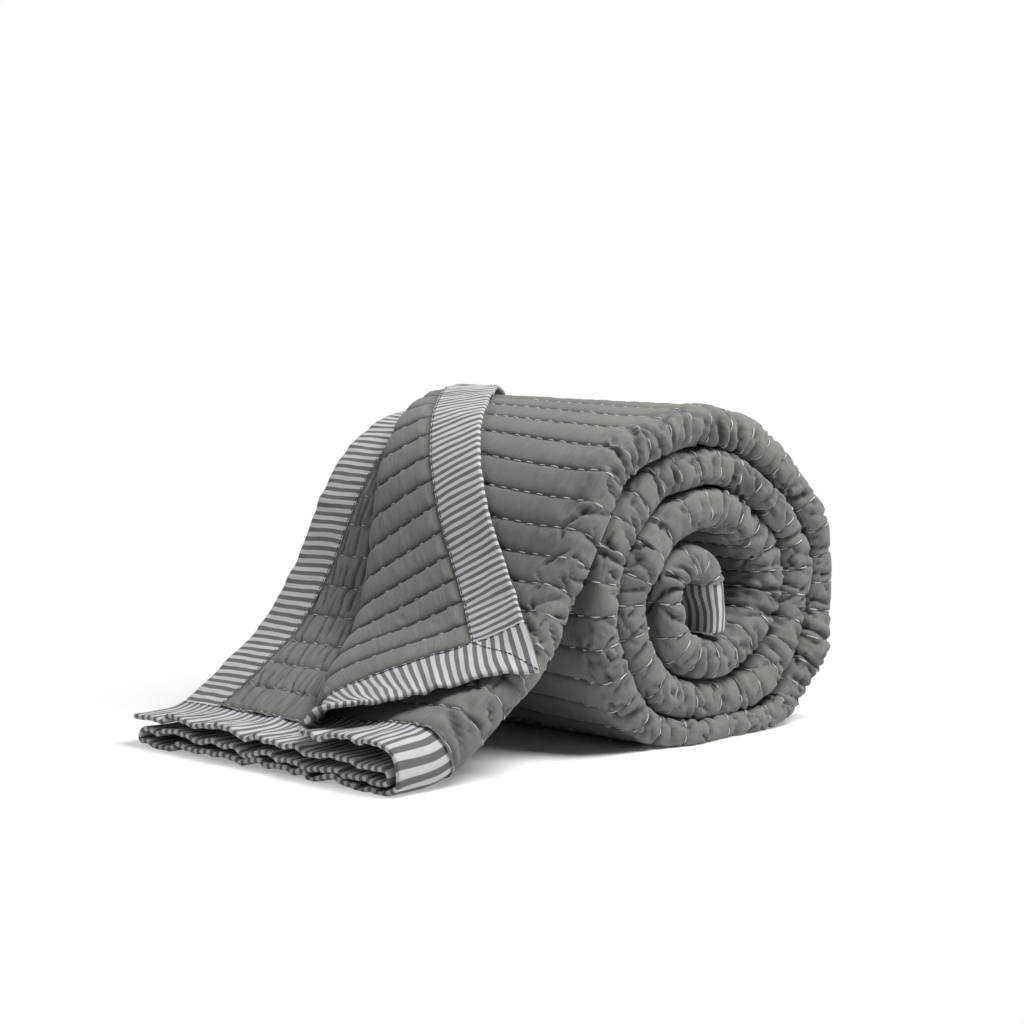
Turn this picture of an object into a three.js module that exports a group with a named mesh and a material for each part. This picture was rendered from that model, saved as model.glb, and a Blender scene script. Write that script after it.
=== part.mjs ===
// Rolled quilted throw blanket, in millimetres, +Z up, standing at the middle of its own footprint.
//
// The throw is one quilted panel with a striped cotton border sewn round it.  It is folded lengthwise
// into a strip of four layers, rolled up from its far end, and left with its near end hanging off the
// top of the roll.  The upper layer's back corner is turned back there, along a slanting crease.
//
// Every piece is first laid out flat, as cells in the throw's own two directions, and each corner of
// each cell then goes through the same three steps: fold() puts it in one of the four layers, turn()
// bends the loose corner back over its crease, and lay() lays the folded strip along the path of the
// roll.  The path runs X (along the floor) and Z (up), and the strip is as wide as the roll is long, in Y.

import * as THREE from "three";

// ---- driving dimensions ----------------------------------------------------------------------

const STRIP = { front: -175, back: 175 }; // the folded strip, across
const LAYERS = 4;
const CLOTH = 7.7; // thickness of the quilted cloth where nothing presses it
const AIR = 1.3; // between one layer and the next, at the least
const TURN_AIR = 2.2; // between one turn of the roll and the next
const FULL_STACK = 36; // four layers lying loosely
const NOMINAL_LAYER = FULL_STACK / LAYERS;
const BORDER = 52; // width of the striped border
const SEAM = 0.3; // between the panel and each border, and between two borders

// The loose end, from the floor up to the top of the roll: the outer face of the strip.
const TAIL = [
  { x: -306, z: 42, stack: 43.6 },
  { x: -280, z: 42, stack: 43.6 },
  { x: -260, z: 44, stack: 43 },
  { x: -235, z: 56, stack: 38 },
  { x: -198, z: 80, stack: 34 },
  { x: -164, z: 104, stack: 32 },
  { x: -137, z: 137, stack: 31 },
  { x: -118, z: 168, stack: 31 },
  { x: -101, z: 201, stack: 31 },
  { x: -83, z: 230, stack: 31 },
  { x: -60, z: 257, stack: 32 },
  { x: -28, z: 280, stack: 33 },
  { x: 12, z: 293, stack: 35 },
  { x: 50, z: 299, stack: 36 },
];

// The roll: its radius at each eighth of a turn, clockwise from the top as seen from the front.  It
// slumps under its own weight, so it is widest low down and flat where it stands.
const ROLL = { x: 85, z: 148, stepsPerQuarter: 5, steps: 53 };
const RADIUS = [
  { top: 151, topRight: 144, right: 162, lowRight: 176, bottom: 149, lowLeft: 172, left: 159, topLeft: 134 },
  { top: 112, topRight: 107, right: 131, lowRight: 137, bottom: 127, lowLeft: 138, left: 127, topLeft: 92 },
  { top: 76, topRight: 76, right: 94, lowRight: 91, bottom: 93, lowLeft: 98, left: 78, topLeft: 60 },
];

// The innermost end: it bends over a small core and hangs down inside the last turn.
const CORE = { x: 50, z: 133, radius: 43, stack: 27, steps: 7, hang: 37, hangStack: 22 };

// The turned-back corner of the upper layer.
const FLAP = { foot: -31, angle: THREE.MathUtils.degToRad(20.2), until: 640, lift: 12 };
const SPARE = { near: 28, far: 10 }; // how far the upper layer reaches past the back of the strip
const BEND = { radius: 5.2, steps: 4 };
const DROOP = { from: STRIP.front + 2 * NOMINAL_LAYER, radius: 60 }; // its tip hangs over the front fold

const COLOUR = { panel: 0x6f706c, border: 0xa2a2a4 };

// ---- the path of the strip --------------------------------------------------------------------

// Smooth value between the rows of a table, at a place counted in rows.
function between(values, place) {
  const row = Math.min(Math.max(Math.floor(place), 0), values.length - 2);
  const t = place - row;
  const at = (i) => values[Math.min(Math.max(i, 0), values.length - 1)];
  const [a, b, c, d] = [at(row - 1), at(row), at(row + 1), at(row + 2)];
  return b + 0.5 * t * (c - a + t * (2 * a - 5 * b + 4 * c - d + t * (3 * (b - c) + d - a)));
}

function rollPoints() {
  const radii = RADIUS.flatMap((row) => Object.values(row));
  const points = [];
  for (let i = 0; i <= ROLL.steps; i++) {
    const angle = (i / ROLL.stepsPerQuarter) * (Math.PI / 2);
    const radius = between(radii, (2 * i) / ROLL.stepsPerQuarter);
    const x = ROLL.x + radius * Math.sin(angle);
    const z = Math.max(ROLL.z + radius * Math.cos(angle), -AIR / 2);
    points.push({ x, z, stack: FULL_STACK });
  }
  return points;
}

function corePoints() {
  const points = [];
  for (let i = 0; i <= CORE.steps; i++) {
    const angle = Math.PI * (1 - i / CORE.steps);
    const x = CORE.x + CORE.radius * Math.cos(angle);
    const z = CORE.z + CORE.radius * Math.sin(angle);
    points.push({ x, z, stack: CORE.stack });
  }
  points.push({ x: CORE.x + CORE.radius, z: CORE.z - CORE.hang / 2, stack: CORE.hangStack });
  points.push({ x: CORE.x + CORE.radius, z: CORE.z - CORE.hang, stack: CORE.hangStack });
  return points;
}

// The room under a station: how far its inward direction reaches before it meets a later turn.
function roomUnder(station, later) {
  let room = Infinity;
  for (let i = 0; i + 1 < later.length; i++) {
    const [a, b] = [later[i], later[i + 1]];
    const [dx, dz] = [b.x - a.x, b.z - a.z];
    const facing = station.inX * dz - station.inZ * dx;
    const reach = ((a.x - station.x) * dz - (a.z - station.z) * dx) / facing;
    const t = ((a.x - station.x) * station.inZ - (a.z - station.z) * station.inX) / facing;
    if (reach > 0 && t >= 0 && t <= 1) room = Math.min(room, reach);
  }
  return room;
}

// All stations of the strip, each with its place along the strip and its inward direction.
function makePath() {
  const stations = [...TAIL, ...rollPoints(), ...corePoints()];
  stations.forEach((station, i) => {
    const before = stations[Math.max(i - 1, 0)];
    const after = stations[Math.min(i + 1, stations.length - 1)];
    const length = Math.hypot(after.x - before.x, after.z - before.z);
    station.inX = (after.z - before.z) / length;
    station.inZ = -(after.x - before.x) / length;
    station.along = i ? before.along + Math.hypot(station.x - before.x, station.z - before.z) : 0;
  });
  // The four layers are pressed together where the next turn leaves them less room.
  const nextTurn = 3 * ROLL.stepsPerQuarter;
  const rooms = stations.map((station, i) => roomUnder(station, stations.slice(i + nextTurn)));
  stations.forEach((station, i) => {
    const tightest = Math.min(...rooms.slice(Math.max(i - 1, 0), i + 2));
    station.stack = Math.min(station.stack, tightest - TURN_AIR);
  });
  return stations;
}

const PATH = makePath();
const LENGTH = PATH[PATH.length - 1].along;

// The path at any place along the strip.
function stationAt(along) {
  let i = 1;
  while (i < PATH.length - 1 && PATH[i].along < along) i++;
  const [a, b] = [PATH[i - 1], PATH[i]];
  const t = (along - a.along) / (b.along - a.along);
  const mix = (name) => THREE.MathUtils.lerp(a[name], b[name], t);
  return { x: mix("x"), z: mix("z"), inX: mix("inX"), inZ: mix("inZ"), stack: mix("stack") };
}

// A point of the strip: its place across, along and below the outer face.
function lay({ y, along, depth }) {
  const at = stationAt(along);
  return new THREE.Vector3(at.x + depth * at.inX, y, at.z + depth * at.inZ);
}

// ---- the fold into four layers ------------------------------------------------------------------

const thickness = (layer) => Math.min(layer - AIR, CLOTH);

// The throw across, from the back edge of its second layer to the back edge of its upper layer.  A run
// is straight, or a half-round fold about a middle depth, and depths are counted in layers.
const front = (layer) => STRIP.front + 2 * layer;
const back = (layer) => STRIP.back - 2 - layer;
const edge = () => STRIP.back;
const NARROW_FOLD = 0.5 * Math.PI * NOMINAL_LAYER;
const OUTER_LENGTH = STRIP.back - front(NOMINAL_LAYER);
const INNER_LENGTH = back(NOMINAL_LAYER) - front(NOMINAL_LAYER);
const RUNS = [
  { name: "second", length: OUTER_LENGTH, depth: 1.5, from: edge, to: front, steps: 1 },
  { name: "inner front fold", length: NARROW_FOLD, about: 2, radius: 0.5, at: front, turn: 1, steps: 2 },
  { name: "third", length: INNER_LENGTH, depth: 2.5, from: front, to: back, steps: 1 },
  { name: "back fold", length: NARROW_FOLD, about: 3, radius: 0.5, at: back, turn: 1, steps: 2 },
  { name: "fourth", length: INNER_LENGTH, depth: 3.5, from: back, to: front, steps: 1 },
  { name: "outer front fold", length: 3 * NARROW_FOLD, about: 2, radius: 1.5, at: front, turn: -1, steps: 4 },
  { name: "upper", length: OUTER_LENGTH, depth: 0.5, from: front, to: edge, steps: 7 },
];
RUNS.forEach((run, i) => {
  run.start = i ? RUNS[i - 1].start + RUNS[i - 1].length : 0;
});
const UPPER = RUNS[RUNS.length - 1];
const SLIDE = 60;

// The upper layer reaches past the back of the strip, most at the loose end.
function upperEdge(along) {
  const t = THREE.MathUtils.smoothstep(along, FLAP.until, 2 * FLAP.until);
  return UPPER.start + UPPER.length + THREE.MathUtils.lerp(SPARE.near, SPARE.far, t);
}

// Where the middle of the cloth lies: its place across the strip and its depth below the outer face.
function fold(across, along) {
  const layer = stationAt(along).stack / LAYERS;
  const run = RUNS.findLast((candidate) => across >= candidate.start) ?? RUNS[0];
  const t = (across - run.start) / run.length;
  if (run.radius) {
    const angle = Math.PI * t;
    const outward = run.at === front ? -1 : 1;
    const y = run.at(layer) + outward * run.radius * layer * Math.sin(angle);
    return { y, depth: (run.about - run.turn * run.radius * Math.cos(angle)) * layer };
  }
  const depth = run.depth * layer;
  if (run !== UPPER) return { y: THREE.MathUtils.lerp(run.from(layer), run.to(layer), t), depth };
  // The upper layer lies at its own flat width, and only slides a little beside its front fold to meet it.
  const slide = 1 - THREE.MathUtils.smoothstep(across, run.start, run.start + SLIDE);
  const start = THREE.MathUtils.lerp(front(NOMINAL_LAYER), front(layer), slide);
  return { y: start + across - run.start, depth };
}

// ---- the turned-back corner ------------------------------------------------------------------------

// The crease runs from its foot at the end of the strip, slanting to the back edge of the upper layer.
const CREASE = { sin: Math.sin(FLAP.angle), cos: Math.cos(FLAP.angle) };
const HALF_BEND = Math.PI * BEND.radius;
const pastCrease = (y, along) => (y - FLAP.foot) * CREASE.cos - along * CREASE.sin;

// The corner's lower edge stands a little off the layer below.
function liftAt(past, along) {
  const t = THREE.MathUtils.clamp((past - HALF_BEND) / (SPARE.near + STRIP.back), 0, 1);
  return FLAP.lift * Math.sin(Math.PI * Math.sqrt(t)) * Math.exp(-along / (2 * BORDER));
}

// A point of the upper layer past the crease, side by side with the face that it is folded onto.
function turn(y, along, side) {
  const past = pastCrease(y, along);
  const angle = Math.min(past, HALF_BEND) / BEND.radius;
  const beside = (y - FLAP.foot) * CREASE.sin + along * CREASE.cos;
  const straight = Math.max(past - HALF_BEND, 0);
  const mapped = (offset) => {
    const off = (BEND.radius - offset) * Math.sin(angle) - straight;
    return {
      y: FLAP.foot + beside * CREASE.sin + off * CREASE.cos,
      along: beside * CREASE.cos - off * CREASE.sin,
    };
  };
  const layer = stationAt(mapped(0).along).stack / LAYERS;
  const offset = (side * thickness(layer)) / 2;
  const outward = BEND.radius - (BEND.radius - offset) * Math.cos(angle);
  return droop({ ...mapped(offset), depth: 0.5 * layer - outward - liftAt(past, along) });
}

// The tip that reaches past the front fold bends down over it.
function droop({ y, along, depth }) {
  const beyond = Math.max(DROOP.from - y, 0) / DROOP.radius;
  const reach = DROOP.radius - depth;
  return {
    y: Math.max(y, DROOP.from) - reach * Math.sin(beyond),
    along,
    depth: DROOP.radius - reach * Math.cos(beyond),
  };
}

// A point on the face (side 1) or the reverse (side -1) of the throw.
function place([across, along], side) {
  const middle = fold(across, along);
  if (across > UPPER.start && pastCrease(middle.y, along) > 0) return lay(turn(middle.y, along, side));
  const nudge = 0.2;
  const [a, b] = [fold(across - nudge, along), fold(across + nudge, along)];
  const length = Math.hypot(b.y - a.y, b.depth - a.depth);
  const half = (side * thickness(stationAt(along).stack / LAYERS)) / (2 * length);
  return lay({ y: middle.y + half * (b.depth - a.depth), along, depth: middle.depth - half * (b.y - a.y) });
}

// ---- flat cells, and the solid that they make ---------------------------------------------------------

// Splits every cell by a line: value() is negative on one side of it and positive on the other.  A corner
// nearer to the line than NEAR counts as on it, which leaves no slivers.
const NEAR = 0.4;
function split(cells, value) {
  const halves = [];
  for (const cell of cells) {
    const values = cell.map(value).map((v) => (Math.abs(v) < NEAR ? 0 : v));
    const low = [];
    const high = [];
    cell.forEach((corner, i) => {
      const j = (i + 1) % cell.length;
      if (values[i] <= 0) low.push(corner);
      if (values[i] >= 0) high.push(corner);
      if (values[i] * values[j] < 0) {
        const t = values[i] / (values[i] - values[j]);
        const crossing = corner.map((c, axis) => THREE.MathUtils.lerp(c, cell[j][axis], t));
        low.push(crossing);
        high.push(crossing);
      }
    });
    if (values.some((v) => v < 0)) halves.push(low);
    if (values.some((v) => v > 0)) halves.push(high);
  }
  return halves;
}

// Cells between neighbouring columns and rows.  A column gives its place across at any place along.
function gridCells(columns, rows) {
  const cells = [];
  for (let r = 0; r + 1 < rows.length; r++) {
    for (let c = 0; c + 1 < columns.length; c++) {
      const corner = (i, j) => [columns[c + i](rows[r + j]), rows[r + j]];
      cells.push([corner(0, 0), corner(1, 0), corner(1, 1), corner(0, 1)]);
    }
  }
  return cells;
}

// The bend of the turned-back corner crosses the upper layer's cells as parallel lines.
function withCrease(cells) {
  const isUpper = (cell) => cell.every(([across]) => across > UPPER.start - 1);
  let upper = cells.filter(isUpper);
  for (let i = 0; i <= BEND.steps; i++) {
    const line = (HALF_BEND * i) / BEND.steps;
    upper = split(upper, ([across, along]) => pastCrease(fold(across, along).y, along) - line);
  }
  return [...cells.filter((cell) => !isUpper(cell)), ...upper];
}

// A closed solid: the cells' face and reverse, and a rim along their outer edges.
function sheetSolid(cells) {
  const flat = [];
  const keys = new Map();
  const indexOf = (corner) => {
    const key = corner.map((c) => Math.round(c * 100)).join();
    if (!keys.has(key)) keys.set(key, flat.push(corner) - 1);
    return keys.get(key);
  };
  const loops = cells.map((cell) => {
    const loop = cell.map(indexOf);
    return loop.filter((corner, i) => corner !== loop[(i + 1) % loop.length]);
  });
  // A corner of one cell that lies on the side of another is put into that side.
  const closeness = 0.05;
  const onSide = (p, a, b) => {
    const [dx, dy] = [b[0] - a[0], b[1] - a[1]];
    const length = Math.hypot(dx, dy);
    const t = ((p[0] - a[0]) * dx + (p[1] - a[1]) * dy) / length;
    const off = Math.abs((p[0] - a[0]) * dy - (p[1] - a[1]) * dx) / length;
    return t > closeness && t < length - closeness && off < closeness ? t : 0;
  };
  const triangles = [];
  for (const loop of loops) {
    const full = loop.flatMap((corner, i) => {
      const [a, b] = [flat[corner], flat[loop[(i + 1) % loop.length]]];
      const hits = flat.map((p, index) => ({ index, t: onSide(p, a, b) })).filter((hit) => hit.t);
      return [corner, ...hits.sort((p, q) => p.t - q.t).map((hit) => hit.index)];
    });
    if (full.length === 3) triangles.push(full);
    else if (full.length === 4 && loop.length === 4) {
      triangles.push([full[0], full[1], full[2]], [full[0], full[2], full[3]]);
    } else {
      const sum = full.reduce(([x, y], i) => [x + flat[i][0], y + flat[i][1]], [0, 0]);
      const middle = flat.push(sum.map((s) => s / full.length)) - 1;
      full.forEach((corner, i) => triangles.push([middle, corner, full[(i + 1) % full.length]]));
    }
  }
  const count = flat.length;
  const order = (corner) => flat[corner][0] + 3 * flat[corner][1];
  const open = new Set(triangles.flatMap(([a, b, c]) => [`${a},${b}`, `${b},${c}`, `${c},${a}`]));
  const rim = [...open].map((key) => key.split(",").map(Number)).filter(([a, b]) => !open.has(`${b},${a}`));
  const index = [
    ...triangles.flatMap(([a, b, c]) => [a, c, b]),
    ...triangles.flatMap(([a, b, c]) => [a + count, b + count, c + count]),
    ...rim.flatMap(([a, b]) =>
      // Both pieces at a twisted seam split it along the same diagonal, so that neither cuts the other.
      order(a) < order(b)
        ? [b, a + count, a, b, b + count, a + count]
        : [b, b + count, a, b + count, a + count, a],
    ),
  ];
  const corners = [...flat.map((corner) => place(corner, 1)), ...flat.map((corner) => place(corner, -1))];
  const geometry = new THREE.BufferGeometry().setFromPoints(corners).setIndex(index);
  geometry.computeVertexNormals();
  return geometry;
}

// ---- the pieces ------------------------------------------------------------------------------------------

const SEAM_ROWS = { near: BORDER + SEAM, far: LENGTH - BORDER - SEAM };
const rowsBetween = (low, high) => [
  low,
  ...PATH.map((station) => station.along).filter((along) => along > low + 3 && along < high - 3),
  high,
];

// Columns over all the runs; the upper layer's are close together only where its corner is turned back.
function columnsBetween(low, high, isFlapZone) {
  const columns = [low];
  for (const run of RUNS) {
    const steps = run === UPPER && !isFlapZone ? 1 : run.steps;
    const end = run === UPPER ? high : () => run.start + run.length;
    const first = run === RUNS[0] ? low : () => run.start;
    for (let i = 1; i <= steps; i++) {
      columns.push((along) => THREE.MathUtils.lerp(first(along), end(along), i / steps));
    }
  }
  return columns;
}

function quiltPanel() {
  const low = () => BORDER + SEAM;
  const high = (along) => upperEdge(along) - BORDER - SEAM;
  const rows = rowsBetween(SEAM_ROWS.near, SEAM_ROWS.far);
  const flapRows = rows.filter((along) => along < FLAP.until);
  const plainRows = rows.slice(flapRows.length - 1);
  const cells = [
    ...withCrease(gridCells(columnsBetween(low, high, true), flapRows)),
    ...gridCells(columnsBetween(low, high, false), plainRows),
  ];
  return sheetSolid(cells);
}

// A side border runs from one end border to the other.
function sideBorder(outer, inward) {
  const columns = [0, 0.5, 1].map((t) => (along) => outer(along) + inward * t * BORDER);
  if (inward > 0) return sheetSolid(gridCells(columns, rowsBetween(SEAM_ROWS.near, SEAM_ROWS.far)));
  return sheetSolid(withCrease(gridCells(columns.reverse(), rowsBetween(SEAM_ROWS.near, SEAM_ROWS.far))));
}

// An end border runs right across, over the ends of both side borders.
function endBorder(isNear) {
  const rows = isNear ? rowsBetween(0, BORDER) : rowsBetween(LENGTH - BORDER, LENGTH);
  const cells = gridCells(columnsBetween(() => 0, upperEdge, isNear), rows);
  return sheetSolid(isNear ? withCrease(cells) : cells);
}

const cotton = (color) => new THREE.MeshStandardMaterial({ color, roughness: 0.9, metalness: 0 });

function piece(name, geometry, color) {
  const mesh = new THREE.Mesh(geometry, cotton(color));
  mesh.name = name;
  return mesh;
}

const throwBlanket = new THREE.Group();
throwBlanket.add(
  piece("quilt_panel", quiltPanel(), COLOUR.panel),
  piece("side_border_second_layer", sideBorder(() => 0, 1), COLOUR.border),
  piece("side_border_upper_layer", sideBorder(upperEdge, -1), COLOUR.border),
  piece("end_border_loose", endBorder(true), COLOUR.border),
  piece("end_border_inner", endBorder(false), COLOUR.border),
);

// The origin is at the bottom centre of the whole.
const extent = new THREE.Box3().setFromObject(throwBlanket);
const centre = extent.getCenter(new THREE.Vector3());
throwBlanket.position.set(-centre.x, -centre.y, 0);

export default throwBlanket;
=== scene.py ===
import math

import bpy
import numpy as np
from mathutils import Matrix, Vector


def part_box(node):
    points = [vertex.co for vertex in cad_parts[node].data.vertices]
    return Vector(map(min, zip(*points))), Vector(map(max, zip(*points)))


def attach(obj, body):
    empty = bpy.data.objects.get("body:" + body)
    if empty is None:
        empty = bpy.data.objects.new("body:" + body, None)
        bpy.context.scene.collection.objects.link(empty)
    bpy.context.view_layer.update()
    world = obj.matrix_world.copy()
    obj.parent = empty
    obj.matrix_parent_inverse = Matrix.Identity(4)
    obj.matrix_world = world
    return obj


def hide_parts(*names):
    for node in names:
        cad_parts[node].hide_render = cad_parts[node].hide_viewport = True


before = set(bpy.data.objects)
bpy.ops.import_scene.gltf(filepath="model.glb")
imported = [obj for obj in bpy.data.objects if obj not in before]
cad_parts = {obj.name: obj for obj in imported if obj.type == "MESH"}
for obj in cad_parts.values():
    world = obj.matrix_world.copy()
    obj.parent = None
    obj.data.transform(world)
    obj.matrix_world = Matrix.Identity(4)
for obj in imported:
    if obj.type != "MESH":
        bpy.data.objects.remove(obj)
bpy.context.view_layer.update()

# ---- the quilted panel, folded and rolled ----------------------------------------------------------
# One large quilted panel: a face cloth and a reverse cloth of grey-green cotton over thin wadding.  It
# is folded lengthwise into a strip of four layers, rolled up from its far end, and left with its near
# end hanging off the roll.  The upper layer's back corner is turned back along a slanting crease.

MM = 0.001
STRIP_FRONT, STRIP_BACK = -175.0, 175.0
LAYERS, AIR, TURN_AIR = 4, 1.3, 2.2
FULL_STACK = 36.0
NOMINAL_LAYER = FULL_STACK / LAYERS
BORDER, SEAM = 52.0, 0.3

# The loose end, from the floor up to the top of the roll: the strip's outer face, and its four layers.
TAIL = np.array(
    [  # x, z, stack
        (-306, 42, 43.6), (-280, 42, 43.6), (-260, 44, 43), (-235, 56, 38), (-198, 80, 34),
        (-164, 104, 32), (-137, 137, 31), (-118, 168, 31), (-101, 201, 31), (-83, 230, 31),
        (-60, 257, 32), (-28, 280, 33), (12, 293, 35), (50, 299, 36),
    ]
)

# The roll: its radius at each eighth of a turn, clockwise from the top as seen from the front.
ROLL_X, ROLL_Z, STEPS_PER_QUARTER, ROLL_STEPS = 85.0, 148.0, 5, 53
RADIUS = np.array(
    [
        151, 144, 162, 176, 149, 172, 159, 134,
        112, 107, 131, 137, 127, 138, 127, 92,
        76, 76, 94, 91, 93, 98, 78, 60,
    ]
)

# The innermost end bends over a small core and hangs down inside the last turn.
CORE_X, CORE_Z, CORE_RADIUS, CORE_STEPS, CORE_STACK = 50.0, 133.0, 43.0, 7, 27.0
HANG, HANG_STACK = 37.0, 22.0

# The turned-back corner of the upper layer, and how its tip hangs over the front fold.
FOOT, CREASE_ANGLE, FOOT_SAG, BEND_RADIUS, LIFT = -31.0, math.radians(20.2), 25.0, 5.2, 15.0
SPARE_NEAR, SPARE_FAR, SPARE_UNTIL = 28.0, 10.0, 640.0
DROOP_FROM, DROOP_RADIUS = STRIP_FRONT + 2 * NOMINAL_LAYER, 60.0


def smooth(x, low, high):
    """Rises gently from 0 at low to 1 at high."""
    t = np.clip((x - low) / (high - low), 0, 1)
    return t * t * (3 - 2 * t)


def rough(u, v, seed):
    """Smooth unevenness from -1 to 1, with about one hump to each unit of u and v."""
    table = np.random.default_rng(seed).uniform(-1, 1, (97, 89))
    u, v = np.broadcast_arrays(u, v)
    i, j = np.floor(u).astype(int), np.floor(v).astype(int)
    s, t = smooth(u - i, 0, 1), smooth(v - j, 0, 1)
    near, far = (
        table[i % 97, (j + k) % 89] * (1 - s) + table[(i + 1) % 97, (j + k) % 89] * s
        for k in (0, 1)
    )
    return near * (1 - t) + far * t


def spline(table, place):
    """Smooth value between the rows of a table, at a place counted in rows."""
    row = np.clip(np.floor(place).astype(int), 0, len(table) - 2)
    t = (place - row).reshape((-1,) + (1,) * (table.ndim - 1))
    a, b, c, d = (table[np.clip(row + k, 0, len(table) - 1)] for k in (-1, 0, 1, 2))
    return b + 0.5 * t * (c - a + t * (2 * a - 5 * b + 4 * c - d + t * (3 * (b - c) + d - a)))


def room_under(point, inward, later):
    """How far the inward direction reaches before it meets a later turn."""
    start, step = later[:-1], np.diff(later, axis=0)
    facing = inward[0] * step[:, 1] - inward[1] * step[:, 0]
    facing[facing == 0] = 1e-9
    off = start - point
    reach = (off[:, 0] * step[:, 1] - off[:, 1] * step[:, 0]) / facing
    t = (off[:, 0] * inward[1] - off[:, 1] * inward[0]) / facing
    hits = reach[(reach > 0) & (t >= 0) & (t <= 1)]
    return hits.min() if len(hits) else np.inf


def make_path():
    """The strip's path: place along it, x, z, inward direction and stack height, every 3 mm or so."""
    turn = np.arange(ROLL_STEPS + 1) / STEPS_PER_QUARTER
    radius = spline(RADIUS, 2 * turn)
    angle = turn * math.pi / 2
    low = -AIR / 2
    full = np.full(ROLL_STEPS + 1, FULL_STACK)
    roll = np.stack([ROLL_X + radius * np.sin(angle), ROLL_Z + radius * np.cos(angle), full], 1)
    bend = math.pi * (1 - np.arange(CORE_STEPS + 1) / CORE_STEPS)
    core_x = CORE_X + CORE_RADIUS * np.cos(bend)
    core = np.stack([core_x, CORE_Z + CORE_RADIUS * np.sin(bend), 0 * bend + CORE_STACK], 1)
    hang = [(CORE_X + CORE_RADIUS, CORE_Z - HANG * part, HANG_STACK) for part in (0.5, 1)]
    stations = np.concatenate([TAIL, roll, core, hang])
    stations[:, 1] = np.maximum(stations[:, 1], low)
    x_z = stations[:, :2]
    along = np.r_[0, np.cumsum(np.linalg.norm(np.diff(x_z, axis=0), axis=1))]
    slope = np.gradient(x_z, axis=0)
    inward = np.stack([slope[:, 1], -slope[:, 0]], 1) / np.linalg.norm(slope, axis=1)[:, None]
    next_turn = 3 * STEPS_PER_QUARTER
    rooms = [room_under(x_z[i], inward[i], x_z[i + next_turn :]) for i in range(len(x_z) - 1)]
    rooms = np.array(rooms + [np.inf])
    tightest = np.minimum(rooms, np.minimum(np.r_[rooms[1:], np.inf], np.r_[np.inf, rooms[:-1]]))
    stations[:, 2] = np.minimum(stations[:, 2], tightest - TURN_AIR)
    place = np.linspace(0, len(stations) - 1, 12 * (len(stations) - 1) + 1)
    fine = spline(stations, place)
    fine[:, 1] = np.maximum(fine[:, 1], low)
    fine_along = np.interp(place, np.arange(len(along)), along)
    slope = np.gradient(fine[:, :2], axis=0)
    slope /= np.linalg.norm(slope, axis=1)[:, None]
    return fine_along, fine[:, 0], fine[:, 1], slope[:, 1], -slope[:, 0], fine[:, 2]


PATH_ALONG, PATH_X, PATH_Z, PATH_IN_X, PATH_IN_Z, PATH_STACK = make_path()
LENGTH = PATH_ALONG[-1]
SHIFT = np.array(
    [
        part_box("end_border_loose")[0].x / MM - TAIL[0, 0],
        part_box("side_border_second_layer")[1].y / MM - STRIP_BACK,
        0,
    ]
)

# The runs across: second layer, inner front fold, third layer, back fold, fourth layer, outer front fold
# and upper layer, with the place where each begins.
NARROW_FOLD = 0.5 * math.pi * NOMINAL_LAYER
OUTER_RUN = STRIP_BACK - STRIP_FRONT - 2 * NOMINAL_LAYER
INNER_RUN = OUTER_RUN - 2 - NOMINAL_LAYER
THIRD_FOLD = OUTER_RUN
THIRD = THIRD_FOLD + NARROW_FOLD
BACK_FOLD = THIRD + INNER_RUN
FOURTH = BACK_FOLD + NARROW_FOLD
FRONT_FOLD = FOURTH + INNER_RUN
UPPER = FRONT_FOLD + 3 * NARROW_FOLD
SLIDE = 60.0


def upper_edge(along):
    """How far across the upper layer reaches: it is cut a little wide, and most so at the loose end."""
    spare = SPARE_NEAR + (SPARE_FAR - SPARE_NEAR) * smooth(along, SPARE_UNTIL, 2 * SPARE_UNTIL)
    return UPPER + OUTER_RUN + spare


def blunt(part, along):
    """The outer front fold is round at the loose end, and a little square where it is rolled up."""
    return np.sign(part) * np.abs(part) ** (1 - 0.22 * smooth(along, 50, 150))


def crown(y, along):
    """The upper layer arches up a little beside the front fold, near the loose end."""
    return 9.0 * np.exp(-(((y + 128) / 52) ** 2) - ((along - 38) / 58) ** 2)


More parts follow.
